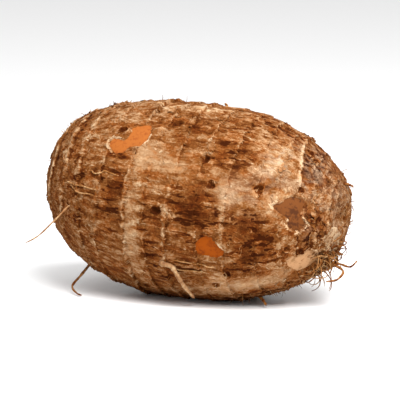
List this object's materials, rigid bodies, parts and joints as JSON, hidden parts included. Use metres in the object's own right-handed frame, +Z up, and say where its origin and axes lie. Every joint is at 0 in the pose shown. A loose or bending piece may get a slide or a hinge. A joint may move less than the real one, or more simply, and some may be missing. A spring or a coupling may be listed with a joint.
{
  "type": "taro root",
  "caption": "Plump oval taro corm lying on its side, with ringed fibrous skin, round root scars, rubbed bare patches and short wiry rootlets.",
  "frame": {"origin": "middle of the small flat spot that the corm rests on", "axes": "+X along the corm from its root end to its crown, +Z up, -Y the side that faces the viewer"},
  "size_m": [0.1455, 0.0841, 0.0855],
  "materials": {
    "skin": "dry matte fibrous skin, tan over dark brown"
  },
  "bodies": {
    "root": {"corm": "skin"}
  },
  "joints": []
}
